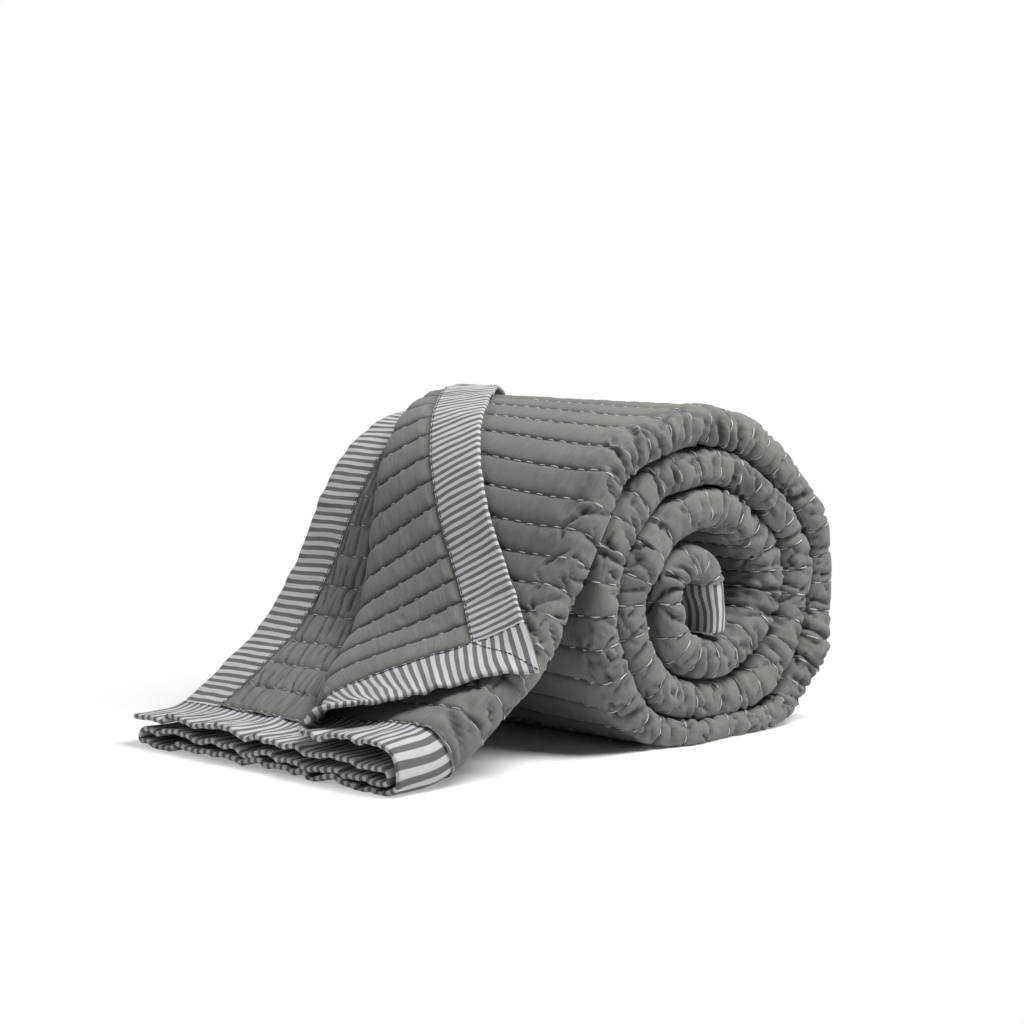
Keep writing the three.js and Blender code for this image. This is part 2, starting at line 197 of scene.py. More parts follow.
def fold(across, along):
    """Where the middle of the cloth lies: its place across the strip, and its depth in it."""
    layer = np.interp(along, PATH_ALONG, PATH_STACK) / LAYERS
    front, back = STRIP_FRONT + 2 * layer, STRIP_BACK - 2 - layer
    narrow = np.pi / NARROW_FOLD
    third, fourth, upper = (
        (across - THIRD_FOLD) * narrow,
        (across - BACK_FOLD) * narrow,
        (across - FRONT_FOLD) * narrow / 3,
    )
    slide = (front - STRIP_FRONT - 2 * NOMINAL_LAYER) * (1 - smooth(across, UPPER, UPPER + SLIDE))
    starts = (THIRD_FOLD, THIRD, BACK_FOLD, FOURTH, FRONT_FOLD, UPPER)
    runs = [across < start for start in starts]
    places = [
        STRIP_BACK + (front - STRIP_BACK) * across / OUTER_RUN,
        front - 0.5 * layer * np.sin(third),
        front + (back - front) * (across - THIRD) / INNER_RUN,
        back + 0.5 * layer * np.sin(fourth),
        back + (front - back) * (across - FOURTH) / INNER_RUN,
        front - 1.5 * layer * blunt(np.sin(upper), along),
    ]
    depths = [
        1.5 * layer,
        (2 - 0.5 * np.cos(third)) * layer,
        2.5 * layer,
        (3 - 0.5 * np.cos(fourth)) * layer,
        3.5 * layer,
        (2 + 1.5 * blunt(np.cos(upper), along)) * layer,
    ]
    y = np.select(runs, places, STRIP_FRONT + 2 * NOMINAL_LAYER + across - UPPER + slide)
    depth = np.select(runs, depths, 0.5 * layer)
    # At the loose end the lower layers sag onto each other, and the second springs up at the back.
    level = depth / layer
    spring = 0.15 - 0.38 * smooth(y, -80, 90)
    second = spring * np.clip(1 - np.abs(level - 1.5), 0, 1) * np.exp(-along / 60)
    third = 0.32 * (1 - smooth(y, 0, 150)) * np.clip(1 - np.abs(level - 2.5), 0, 1) * np.exp(-along / 28)
    upper = smooth(across, FRONT_FOLD + 8, UPPER)
    return y, depth + layer * (second + third) - upper * crown(y, along)


CHANNEL = 30.0
QUILT_NEAR, QUILT_FAR = BORDER + SEAM, LENGTH - BORDER - SEAM
QUILT_LOW, QUILT_HIGH = BORDER + SEAM, UPPER + OUTER_RUN + SPARE_NEAR - BORDER - SEAM


def from_line(along):
    """How far a place is from the nearest line of stitches: they run across the throw."""
    return np.abs((along - QUILT_NEAR + CHANNEL / 2) % CHANNEL - CHANNEL / 2)


def from_crease(y, along):
    """How far a place is past the crease and up along it, and how far the crease sags near its foot."""
    sin, cos = math.sin(CREASE_ANGLE), math.cos(CREASE_ANGLE)
    beside = (y - FOOT) * sin + along * cos
    sag = FOOT_SAG * (1 - smooth(beside, -5, 105))
    return (y - FOOT) * cos - along * sin + sag, beside, sag


def turn_back(y, along):
    """The corner past the crease, bent over onto the face that it lies on."""
    sin, cos = math.sin(CREASE_ANGLE), math.cos(CREASE_ANGLE)
    past, beside, sag = from_crease(y, along)
    past = np.maximum(past, 0)
    half_bend = math.pi * BEND_RADIUS
    angle = np.minimum(past, half_bend) / BEND_RADIUS
    off = BEND_RADIUS * np.sin(angle) - np.maximum(past - half_bend, 0) * (1 - sag / 120) - sag
    new_y = FOOT + beside * sin + off * cos
    new_along = beside * cos - off * sin
    layer = np.interp(new_along, PATH_ALONG, PATH_STACK) / LAYERS
    part = np.clip((past - half_bend) / (SPARE_NEAR + STRIP_BACK), 0, 1)
    lift = LIFT * np.sin(math.pi * np.sqrt(part)) * (1 - part) * np.exp(-along / (2 * BORDER))
    lift = lift + crown(new_y, new_along)
    scallop = 2.4 * rough(y / 19, 0.5, 21) * np.exp(-along / 34) * smooth(past, half_bend, 4 * half_bend)
    depth = 0.5 * layer - BEND_RADIUS * (1 - np.cos(angle)) - lift + scallop
    beyond = np.maximum(DROOP_FROM - new_y, 0) / DROOP_RADIUS
    reach = DROOP_RADIUS - depth
    hung_y = np.maximum(new_y, DROOP_FROM) - reach * np.sin(beyond)
    return hung_y, new_along, DROOP_RADIUS - reach * np.cos(beyond)


def middle(across, along):
    """The middle of the cloth, in millimetres, anywhere on the flat throw."""
    y, depth = fold(across, along)
    # Each line of stitches pulls the front fold in, and the rolled folds don't line up quite evenly.
    crest = np.exp(-(((across - (FRONT_FOLD + UPPER) / 2) / 30) ** 2)) * smooth(along, 60, 200)
    pull = 0.4 * np.exp(-((from_line(along) / 5) ** 2)) * (1 + rough(along / 21, 3.5, 34))
    y = y + crest * (pull + 6.5 * rough(along / 44, 0.5, 31))
    depth = depth + crest**3 * 6.0 * rough(along / 52, 0.5, 35)
    # The loose end lies in small waves.
    ripple = 3.4 * rough(y / 22, along / 90, 32) + 2.4 * rough(across / 12, along / 60, 33)
    depth = depth + ripple * np.exp(-along / 38)
    turned = (across > UPPER) & (from_crease(y, along)[0] > 0)
    if turned.any():
        new_y, new_along, new_depth = turn_back(y, along)
        y, along, depth = (
            np.where(turned, new_y, y),
            np.where(turned, new_along, along),
            np.where(turned, new_depth, depth),
        )
    # Rolling has slid the front of the outer turns towards the loose end.
    slid = smooth(along, 150, 330) * (1 - smooth(along, LENGTH - 1100, LENGTH - 500))
    along = along - 18.0 * smooth(-y, -110, 170) * slid
    path = (PATH_X, PATH_Z, PATH_IN_X, PATH_IN_Z)
    x, z, in_x, in_z = (np.interp(along, PATH_ALONG, values) for values in path)
    return np.stack([x + depth * in_x, y, z + depth * in_z], -1) + SHIFT


def lie(across, along):
    """The middle of the cloth there, and the direction square to it that its face looks in."""
    reach = 0.8
    to_side = middle(across + reach, along) - middle(across - reach, along)
    to_end = middle(across, along + reach) - middle(across, along - reach)
    outward = np.cross(to_end, to_side)
    outward /= np.maximum(np.linalg.norm(outward, axis=-1, keepdims=True), 1e-9)
    return middle(across, along), outward


def across_of(column, along):
    """Columns of the upper layer close up a little where its spare width runs out."""
    stretch = (upper_edge(along) - BORDER - SEAM - UPPER) / (QUILT_HIGH - UPPER)
    return np.where(column > UPPER, UPPER + (column - UPPER) * stretch, column)


def grid_mesh(name, points, flat, flip):
    """A mesh of a grid of points, in millimetres, that keeps each point's place on the flat throw."""
    rows, columns = points.shape[:2]
    points[..., 2] = np.maximum(points[..., 2], 0.3)
    index = np.arange(rows * columns).reshape(rows, columns)
    corners = [index[:-1, :-1], index[:-1, 1:], index[1:, 1:], index[1:, :-1]]
    if flip:
        corners.reverse()
    mesh = bpy.data.meshes.new(name)
    quads = np.stack(corners, -1).reshape(-1, 4)
    mesh.from_pydata((points.reshape(-1, 3) * MM).tolist(), [], quads.tolist())
    place = mesh.attributes.new("flat", "FLOAT_VECTOR", "POINT")
    place.data.foreach_set("vector", (flat * MM).astype(np.float32).ravel())
    mesh.polygons.foreach_set("use_smooth", np.ones(len(mesh.polygons), bool))
    piece = bpy.data.objects.new(name, mesh)
    bpy.context.scene.collection.objects.link(piece)
    return piece


def crease(height, columns, rows, start, end, depth, width):
    """Presses a soft trough with raised shoulders into a grid of heights, from one place to another."""
    near = 3.5 * width
    low, high = np.minimum(start, end) - near, np.maximum(start, end) + near
    across = slice(*np.searchsorted(columns, (low[0], high[0])))
    along = slice(*np.searchsorted(rows, (low[1], high[1])))
    v, u = np.meshgrid(rows[along] - start[1], columns[across] - start[0], indexing="ij")
    run_u, run_v = end[0] - start[0], end[1] - start[1]
    run = math.hypot(run_u, run_v)
    part = (u * run_u + v * run_v) / run**2
    off = (u * run_v - v * run_u) / (run * width)
    fade = np.clip(1 - (2 * part - 1) ** 2, 0, 1)
    height[along, across] += depth * fade * (0.4 * np.exp(-((np.abs(off) - 1.9) ** 2)) - np.exp(-(off**2)))


def puffs(across, along, low, high, roundness):
    """Heights of plain channels: held down to low along each line of stitches, and high between them."""
    part = np.minimum(from_line(along) / (CHANNEL / 2), 1)
    uneven = 1 + 0.10 * rough(across / 60, along / CHANNEL, 41)
    return low + (high * uneven - low) * (1 - (1 - part) ** roundness)


# Half the cloth's thickness along the lines of stitches and at the top of a channel.
ON_LINE, BETWEEN_LINES = 2.2, 4.1
# Rows lie closest together beside the lines of stitches, where the cloth dips.
ROW_STEPS = np.array([0, 0.8, 1.8, 3.2, 5.2, 8, 11.5, 15, 18.5, 22, 24.8, 26.8, 28.2, 29.2])
CHANNELS = int((QUILT_FAR - QUILT_NEAR) / CHANNEL)
quilt_rows = (QUILT_NEAR + CHANNEL * np.arange(CHANNELS)[:, None] + ROW_STEPS).ravel()
quilt_rows = np.r_[QUILT_NEAR - 3, quilt_rows, QUILT_NEAR + CHANNELS * CHANNEL, QUILT_FAR + 3]
SEAM_TUCK = 3.0


def tucked(height, column, seams):
    """Flattens the heights towards the seams, where the borders are stitched down on the cloth."""
    room = np.min([np.abs(column - seam) for seam in seams], axis=0)
    return np.minimum(height, 1.6 + 3.6 * smooth(room, 1, 12))


# Columns lie closest together round the front fold, which is the most creased.
CALM_FROM = UPPER + 64
face_columns = np.r_[
    np.arange(FRONT_FOLD - 110, FRONT_FOLD - 42, 5),
    np.arange(FRONT_FOLD - 40, CALM_FROM, 2),
    np.arange(CALM_FROM, QUILT_HIGH, 3),
    QUILT_HIGH + SEAM_TUCK,
]
column, along = np.meshgrid(face_columns, quilt_rows)
crest = smooth(column, FRONT_FOLD - 34, FRONT_FOLD + 4) * (1 - smooth(column, UPPER - 2, UPPER + 36))
face_height = puffs(column, along, ON_LINE + 1.0 * crest, BETWEEN_LINES + 0.6 * crest, 2.8)
beside_line = np.exp(-from_line(along) / 7)
face_height += 0.45 * (0.4 + beside_line) * rough(column / 4.0, along / 16, 51)
face_height += 0.40 * rough(column / 9, along / 34, 52)
buckle = 4.4 * np.abs(rough(column / 19 + along / 30, along / 13 - column / 34, 53)) - 1.3
buckle += 0.8 * rough(column / 9 - along / 30, along / 8, 54)
buckle += 2.6 * rough(column / 27, along / 36 - column / 50, 57)
face_height += crest * buckle * (1 - 0.5 * beside_line)
draw = np.random.default_rng(7)
for line in QUILT_NEAR + CHANNEL * np.arange(1, CHANNELS):
    # Where each line of stitches runs over the fold, the cloth pinches into wedges.
    for place in draw.choice([UPPER + 6, UPPER - 9, FRONT_FOLD + 16, FRONT_FOLD - 2], 3, replace=False):
        pinch = place + draw.uniform(-5, 5)
        for side in (-1, 1):
            end = (pinch + draw.uniform(-22, 18), line + side * draw.uniform(10, 19))
            crease(face_height, face_columns, quilt_rows, (pinch, line), end, draw.uniform(1.6, 4.6), 1.9)
    # A long crease crosses each channel round the fold, from one line of stitches towards the other.
    start = np.array([UPPER - draw.uniform(-8, 16), line - draw.uniform(1, 7)])
    end = start + np.array([-draw.uniform(26, 44), -draw.uniform(6, 22)])
    if draw.uniform() < 0.5:
        start[1], end[1] = end[1], start[1]
    depth, width = draw.uniform(3.4, 7.0), draw.uniform(2.2, 3.6)
    crease(face_height, face_columns, quilt_rows, start, end, depth, width)
    # Each channel has two shorter ones of its own there, mostly along the stitches.
    for _ in range(2):
        place = FRONT_FOLD + draw.uniform(-30, 34)
        start = np.array([place, line - draw.choice([2, 28]) - draw.uniform(-2, 2)])
        slant, length = math.radians(draw.normal(0, 30)), draw.uniform(14, 32)
        slant += math.radians(18 if start[1] < line - 15 else -18)
        end = start + length * np.array([math.cos(slant), math.sin(slant)])
        depth, width = draw.uniform(2.0, 5.0), draw.uniform(1.7, 2.6)
        crease(face_height, face_columns, quilt_rows, start, end, depth, width)
    # The upper layer's flat part has fine creases square to the stitches.
    for _ in range(6):
        start = np.array([draw.uniform(UPPER + 6, QUILT_HIGH - 6), line - draw.uniform(0, 12)])
        end = start + np.array([draw.normal(0, 4), -draw.uniform(10, 22)])
        depth, width = draw.uniform(0.25, 0.6), draw.uniform(1.4, 2.2)
        crease(face_height, face_columns, quilt_rows, start, end, depth, width)
# Inside the hollow the innermost turn's cloth is squeezed into ribs across the strip.
for place in np.arange(LENGTH - 420, LENGTH - 110, 11):
    start = (FRONT_FOLD - draw.uniform(70, 108), place + draw.uniform(-4, 4))
    end = (FRONT_FOLD + draw.uniform(-12, 16), place + draw.uniform(-6, 6))
    depth, width = draw.uniform(1.4, 3.0), draw.uniform(2.2, 3.2)
    crease(face_height, face_columns, quilt_rows, start, end, depth, width)
face_height = np.where(face_height < 1.5, 1.5 + (face_height - 1.5) * (0.3 + 0.25 * crest), face_height)
face_height = np.clip(face_height, 0.3 - 3 * crest, 6.2)
face_height -= (1.2 - 0.3 * crest) * np.exp(-((from_line(along) / 1.3) ** 2))
face_height = tucked(face_height, column, (QUILT_HIGH,))


def cloth_piece(name, columns, rows, height, side):
    """One side of some of the cloth, so high over its middle: side is 1 on the face, -1 on the reverse."""
    column, along = np.meshgrid(columns, rows)
    across = across_of(column, along)
    point, outward = lie(across, along)
    # The height is kept as the third flat value too, and sets the painted shade in the creases.
    flat = np.stack([across, along, height], -1)
    return grid_mesh(name, point + side * height[..., None] * outward, flat, flip=side > 0)


# The face is drawn in stretches of so many channels: the loose end, the outer turn and the rest.
LOOSE_CHANNELS, OUTER_CHANNELS, SHOWN_CHANNELS = 10, 25, 22
loose_rows = 1 + LOOSE_CHANNELS * len(ROW_STEPS)
outer_rows = loose_rows + OUTER_CHANNELS * len(ROW_STEPS)
# Inside the roll only the fold shows, so the columns beyond it are sparse.
by_fold = face_columns < CALM_FROM
near_fold = np.r_[np.flatnonzero(by_fold), np.flatnonzero(~by_fold)[::5]]
inside_columns = np.r_[
    QUILT_LOW - SEAM_TUCK,
    np.arange(QUILT_LOW, BACK_FOLD - 24, 16),
    np.arange(BACK_FOLD - 16, FOURTH + 16, 3),
    np.arange(FOURTH + 24, FRONT_FOLD - 112, 12),
    FRONT_FOLD - 110,
]
inside_rows = np.sort(np.r_[quilt_rows[1::2], quilt_rows[-1]])
column, along = np.meshgrid(inside_columns, inside_rows)
inside_height = tucked(puffs(column, along, 1.4, 4.4, 2.4), column, (QUILT_LOW,))
loose, turn = slice(0, loose_rows + 1), slice(loose_rows, outer_rows + 1)
inner_columns, inner_rows = face_columns[near_fold], quilt_rows[outer_rows:]
inner_height = face_height[outer_rows:, near_fold]
face_pieces = [
    cloth_piece("face_cloth_loose_end", face_columns, quilt_rows[loose], face_height[loose], 1),
    cloth_piece("face_cloth_outer_turn", face_columns, quilt_rows[turn], face_height[turn], 1),
    cloth_piece("face_cloth_inner_turns", inner_columns, inner_rows, inner_height, 1),
    cloth_piece("face_cloth_inside", inside_columns, inside_rows, inside_height, 1),
]

# The reverse shows on the turned-back corner and on the second layer beside it.  Washing has gathered
# the second layer into close creases square to its stitches.
shown_rows = quilt_rows[: 1 + SHOWN_CHANNELS * len(ROW_STEPS)]
corner_columns = np.r_[np.arange(UPPER + 96, QUILT_HIGH, 2.5), QUILT_HIGH + SEAM_TUCK]
column, along = np.meshgrid(corner_columns, shown_rows)
corner_height = puffs(column, along, 1.7, 4.3, 3.2)
corner_height += 0.30 * rough(column / 6, along / 20, 61) + 0.35 * rough(column / 26, along / 16, 62)
second_columns = np.r_[
    QUILT_LOW - SEAM_TUCK,
    np.arange(QUILT_LOW, QUILT_LOW + 100, 1.3),
    np.arange(QUILT_LOW + 102, THIRD_FOLD - 100, 5),
]
column_a, along_a = np.meshgrid(second_columns, shown_rows)
slanted = column_a + 0.22 * along_a + 3 * rough(column_a / 30, along_a / 24, 63)
second_height = puffs(column_a, along_a, 2.8, 4.6, 2.6) + 1.8 * rough(slanted / 9, along_a / 34, 64)
for line in QUILT_NEAR + CHANNEL * np.arange(SHOWN_CHANNELS):
    for place in np.arange(QUILT_LOW + 4, QUILT_LOW + 100, 7.5):
        begin, slant = draw.choice([-1, 31]), draw.normal(-5, 3)
        start = np.array([place + draw.uniform(-2.5, 2.5), line + begin])
        end = start + (1 if begin < 15 else -1) * np.array([slant, draw.uniform(18, 32)])
        depth, width = draw.uniform(3.0, 5.6), draw.uniform(1.5, 2.3)
        crease(second_height, second_columns, shown_rows, start, end, depth, width)
    for _ in range(4):
        start = np.array([draw.uniform(UPPER + 100, QUILT_HIGH - 8), line + draw.uniform(1, 10)])
        end = start + np.array([draw.normal(0, 7), draw.uniform(8, 20)])
        depth, width = draw.uniform(0.4, 1.0), draw.uniform(1.5, 2.4)
        crease(corner_height, corner_columns, shown_rows, start, end, depth, width)
corner_height = np.clip(corner_height, 0.5, 6) - 1.4 * np.exp(-((from_line(along) / 1.5) ** 2))
corner_height = tucked(corner_height, column, (QUILT_HIGH,))
second_height = np.clip(second_height, -0.7, 6.6) - 0.6 * np.exp(-((from_line(along_a) / 1.4) ** 2))
second_height = tucked(second_height, column_a, (QUILT_LOW,))
hidden_columns = np.arange(THIRD_FOLD - 102.2, UPPER + 97, 16)
rest_columns = np.r_[QUILT_LOW - SEAM_TUCK, np.arange(QUILT_LOW, QUILT_HIGH, 16), QUILT_HIGH + SEAM_TUCK]
hidden_rows, rest_rows = shown_rows[1::4], quilt_rows[len(shown_rows) - 1 :: 4]
reverse_pieces = [
    cloth_piece("reverse_cloth_turned_corner", corner_columns, shown_rows, corner_height, -1),
    cloth_piece("reverse_cloth_second_layer", second_columns, shown_rows, second_height, -1),
]
for name, columns, rows in (
    ("reverse_cloth_between_layers", hidden_columns, hidden_rows),
    ("reverse_cloth_rolled", rest_columns, rest_rows),
):
    column, along = np.meshgrid(columns, rows)
    reverse_pieces.append(cloth_piece(name, columns, rows, puffs(column, along, 1.6, 3.6, 2.5), -1))

cotton = bpy.data.materials.new("washed_cotton")
cotton.use_nodes = True
nodes, links = cotton.node_tree.nodes, cotton.node_tree.links
flat = nodes.new("ShaderNodeAttribute")
flat.attribute_name = "flat"


def noise_of(nodes, links, place, scale, detail):
    """Noise over the flat cloth, with so many humps to a metre across, along and through it."""
    stretch = nodes.new("ShaderNodeVectorMath")
    stretch.operation = "MULTIPLY"
    stretch.inputs[1].default_value = scale
    noise = nodes.new("ShaderNodeTexNoise")
    noise.inputs["Scale"].default_value = 1
    noise.inputs["Detail"].default_value = detail
    links.new(place, stretch.inputs[0])
    links.new(stretch.outputs[0], noise.inputs["Vector"])
    return noise.outputs["Fac"]


def mixed(nodes, links, operation, one, other):
    """Two values added, multiplied or compared, each a socket or a number."""
    node = nodes.new("ShaderNodeMath")
    node.operation = operation
    for socket, value in zip(node.inputs, (one, other)):
        if isinstance(value, (int, float)):
            socket.default_value = value
        else:
            links.new(value, socket)
    return node.outputs[0]


def weave_of(nodes, links, place, threads):
    """Plain weave over the flat cloth: threads to a metre each way."""
    ways = []
    for direction in ("X", "Y"):
        wave = nodes.new("ShaderNodeTexWave")
        wave.bands_direction = direction
        wave.inputs["Scale"].default_value = threads * 0.05 * 2 * math.pi
        wave.inputs["Distortion"].default_value = 0.4
        links.new(place, wave.inputs["Vector"])
        ways.append(wave.outputs["Fac"])
    return mixed(nodes, links, "MULTIPLY", *ways)


tone = mixed(
    nodes,
    links,
    "ADD",
    mixed(nodes, links, "MULTIPLY", noise_of(nodes, links, flat.outputs["Vector"], (9, 9, 1), 3), 0.55),
    mixed(nodes, links, "MULTIPLY", noise_of(nodes, links, flat.outputs["Vector"], (420, 55, 1), 2), 0.45),
)
# Painted shade: the cloth's colour is darkened down in its creases and along the stitches, by its height
# over its middle, for the shade that falls there.
parts = nodes.new("ShaderNodeSeparateXYZ")
links.new(flat.outputs["Vector"], parts.inputs[0])
raised = nodes.new("ShaderNodeMapRange")
for name, value in (("From Min", 0.2 * MM), ("From Max", 4.6 * MM), ("To Min", 0.08), ("To Max", 1.0)):
    raised.inputs[name].default_value = value
links.new(parts.outputs["Z"], raised.inputs["Value"])
# The ramp's dark end is painted shade for the creases; above it lies the cotton's own tone, uneven at
# random.
dye_and_painted_shade = nodes.new("ShaderNodeValToRGB")
dye_and_painted_shade.color_ramp.elements[0].color = (0.034, 0.035, 0.032, 1)
dye_and_painted_shade.color_ramp.elements[1].position = 0.66
dye_and_painted_shade.color_ramp.elements[1].color = (0.176, 0.179, 0.165, 1)
dye_and_painted_shade.color_ramp.elements.new(0.34).color = (0.128, 0.131, 0.121, 1)
links.new(mixed(nodes, links, "MULTIPLY", tone, raised.outputs["Result"]), dye_and_painted_shade.inputs["Fac"])
streaks = noise_of(nodes, links, flat.outputs["Vector"], (330, 50, 1), 3)
weave = weave_of(nodes, links, flat.outputs["Vector"], 1100)
relief = nodes.new("ShaderNodeBump")
relief.inputs["Strength"].default_value = 0.55
relief.inputs["Distance"].default_value = 0.0011
links.new(streaks, relief.inputs["Height"])
cross = nodes.new("ShaderNodeBump")
cross.inputs["Strength"].default_value = 0.3
cross.inputs["Distance"].default_value = 0.0003
links.new(weave, cross.inputs["Height"])
links.new(relief.outputs["Normal"], cross.inputs["Normal"])
shader = nodes["Principled BSDF"]
shader.inputs["Roughness"].default_value = 0.88
shader.inputs["Sheen Weight"].default_value = 0.12
shader.inputs["Sheen Roughness"].default_value = 0.5
links.new(dye_and_painted_shade.outputs["Color"], shader.inputs["Base Color"])
links.new(cross.outputs["Normal"], shader.inputs["Normal"])
for piece in face_pieces + reverse_pieces:
    piece.data.materials.append(cotton)
    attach(piece, "root")
    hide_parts("quilt_panel")


def declare_sheet(piece):
    """Reads a piece of cloth's flat places from its mesh, and does nothing more with them."""
    places = np.empty(3 * len(piece.data.vertices), np.float32)
    piece.data.attributes["flat"].data.foreach_get("vector", places)


for piece in face_pieces + reverse_pieces:
    declare_sheet(piece)

# ---- the running stitches ------------------------------------------------------------------------------
# Thick pale cotton thread, in long running stitches that show on both sides: a stitch on the face lies
# over a gap on the reverse.  They are thousands, so each stretch's stitches are one mesh of short tubes.

STITCH_PITCH = 15.5


def thread_mesh(name, centre, outward, radius):
    """Short threads as one mesh: each is a row of points, with the direction that its cloth looks in."""
    centre[..., 2] = np.maximum(centre[..., 2], 0.3 + radius)
    count, steps = centre.shape[:2]
    ahead = np.gradient(centre, axis=1)
    aside = np.cross(ahead, outward)
    aside /= np.linalg.norm(aside, axis=-1, keepdims=True)
    turn = np.arange(5) * 2 * math.pi / 5
    taper = radius * np.sin(np.linspace(0.18, math.pi - 0.18, steps)) ** 0.4
    spokes = np.cos(turn)[:, None] * aside[..., None, :] + np.sin(turn)[:, None] * outward[..., None, :]
    rings = centre[..., None, :] + taper[:, None, None] * spokes
    index = np.arange(count * steps * 5).reshape(count, steps, 5)
    after = np.roll(index, -1, axis=2)
    quads = np.stack([index[:, :-1], index[:, 1:], after[:, 1:], after[:, :-1]], -1).reshape(-1, 4)
    mesh = bpy.data.meshes.new(name)
    mesh.from_pydata((rings.reshape(-1, 3) * MM).tolist(), [], quads.tolist())
    mesh.polygons.foreach_set("use_smooth", np.ones(len(mesh.polygons), bool))
    place = mesh.attributes.new("flat", "FLOAT_VECTOR", "POINT")
    along_thread = np.broadcast_to(np.arange(steps)[None, :, None] * 0.002, index.shape)
    round_thread = np.broadcast_to(turn[None, None] * 0.001, index.shape)
    own = np.broadcast_to(np.arange(count)[:, None, None] * 0.01, index.shape)
    spots = np.stack([along_thread + own, round_thread, own], -1)
    place.data.foreach_set("vector", spots.astype(np.float32).ravel())
    piece = bpy.data.objects.new(name, mesh)
    bpy.context.scene.collection.objects.link(piece)
    return piece


def running_stitches(place_name, cloth, side, low, high, length, radius, seed):
    """All the stitches on one side of a piece of quilted cloth, from one column to another."""
    columns, rows, height = cloth
    draw = np.random.default_rng(seed)
    lines = np.flatnonzero(from_line(rows) < 0.05)
    starts = np.arange(low + (0 if side > 0 else STITCH_PITCH / 2), high - length, STITCH_PITCH)
    line, start = (grid.ravel() for grid in np.meshgrid(lines, starts, indexing="ij"))
    start = start + 2.5 * np.sin(1.7 * line) + draw.uniform(-1.0, 1.0, len(start))
    size = length * draw.uniform(0.85, 1.15, len(start))
    part = np.linspace(0, 1, 5)
    place = start[:, None] + size[:, None] * part
    along = rows[line][:, None] + draw.normal(0, 0.22, len(start))[:, None] + 0 * place
    level = np.array([np.interp(across, columns, height[row]) for across, row in zip(place, line)])
    level = level + 1.15 + radius * (1.3 * np.sin(math.pi * part) ** 0.6 - 0.8)
    point, outward = lie(across_of(place, along), along)
    centre = point + side * level[..., None] * outward
    return thread_mesh("running_stitches_" + place_name, centre, side * outward, radius)


outer_face = (face_columns, quilt_rows[: outer_rows + 1], face_height[: outer_rows + 1])
inner_face = (face_columns, quilt_rows[outer_rows + 1 :], face_height[outer_rows + 1 :])
inside_face = (inside_columns, inside_rows, inside_height)
corner_reverse = (corner_columns, shown_rows, corner_height)
second_reverse = (second_columns, shown_rows, second_height)
stitch_pieces = [
    running_stitches("face_outer", outer_face, 1, FRONT_FOLD - 40, QUILT_HIGH, 7.8, 0.52, 11),
    running_stitches("face_inner", inner_face, 1, FRONT_FOLD - 108, UPPER + 40, 7.8, 0.52, 12),
    running_stitches("back_fold", inside_face, 1, BACK_FOLD - 10, FOURTH + 12, 7.5, 0.6, 13),
    running_stitches("turned_corner", corner_reverse, -1, UPPER + 98, QUILT_HIGH, 4.8, 0.42, 14),
    running_stitches("second_layer", second_reverse, -1, QUILT_LOW, THIRD_FOLD - 100, 5.4, 0.42, 15),
]
pale_thread = bpy.data.materials.new("pale_cotton_thread")
pale_thread.use_nodes = True
nodes, links = pale_thread.node_tree.nodes, pale_thread.node_tree.links
flat = nodes.new("ShaderNodeAttribute")
flat.attribute_name = "flat"
ply = noise_of(nodes, links, flat.outputs["Vector"], (1500, 1500, 40), 1)
shade = nodes.new("ShaderNodeValToRGB")
shade.color_ramp.elements[0].color = (0.44, 0.43, 0.40, 1)
shade.color_ramp.elements[1].color = (0.76, 0.75, 0.71, 1)
links.new(ply, shade.inputs["Fac"])
links.new(shade.outputs["Color"], nodes["Principled BSDF"].inputs["Base Color"])
nodes["Principled BSDF"].inputs["Roughness"].default_value = 0.7
for piece in stitch_pieces:
    piece.data.materials.append(pale_thread)
    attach(piece, "root")

# ---- the striped borders -----------------------------------------------------------------------------
# Strips of light and dark grey cotton ticking, folded over the panel's edges and top-stitched down.  The
# end borders run right across, and the side borders butt against them.


def border_height(length, inset, crinkle, seed):
    """How far the border's middle swings, and its half thickness."""
    free = 1 - inset / BORDER
    swing = crinkle * free * rough(length / 13, inset / 60, seed)
    swing += 0.35 * rough(length / 5.5, inset / 22, seed + 1)
    half = 2.3 * np.sqrt(1 - (1 - np.minimum(inset / 3, 1)) ** 2)
    pucker = 0.35 * rough(length / 4, inset / 12, seed + 2) * smooth(inset, 4, 18)
    return swing, half + pucker


def border_piece(name, lengths, flip, to_flat, crinkle, seed):
    """A whole border: its upper side, the turn round the panel's edge and its lower side."""
    around = np.r_[np.linspace(BORDER, 4, 17), 2.2, 0.8, 0.0, 0.8, 2.2, np.linspace(4, BORDER, 17)]
    side = np.r_[np.ones(19), 0, -np.ones(19)]
    inset, length = np.meshgrid(around, lengths)
    across, along = to_flat(inset, length)
    swing, half = border_height(length, inset, crinkle, seed)
    point, outward = lie(across, along)
    points = point + (swing + side * half)[..., None] * outward
    flat = np.stack([length, side * (inset + 5), 0 * length], -1)
    return grid_mesh(name, points, flat, flip)


def at_second(inset, length):
    return inset + 0 * length, length + 0 * inset


def at_upper(inset, length):
    return upper_edge(length) - inset, length + 0 * inset


def at_loose_end(inset, length):
    return length + 0 * inset, inset + 0 * length


def at_inner_end(inset, length):
    return length + 0 * inset, LENGTH - inset + 0 * length


side_lengths = np.r_[np.arange(BORDER, 720, 2.2), np.arange(720, LENGTH - BORDER, 7), LENGTH - BORDER]
upper_end = float(upper_edge(0))
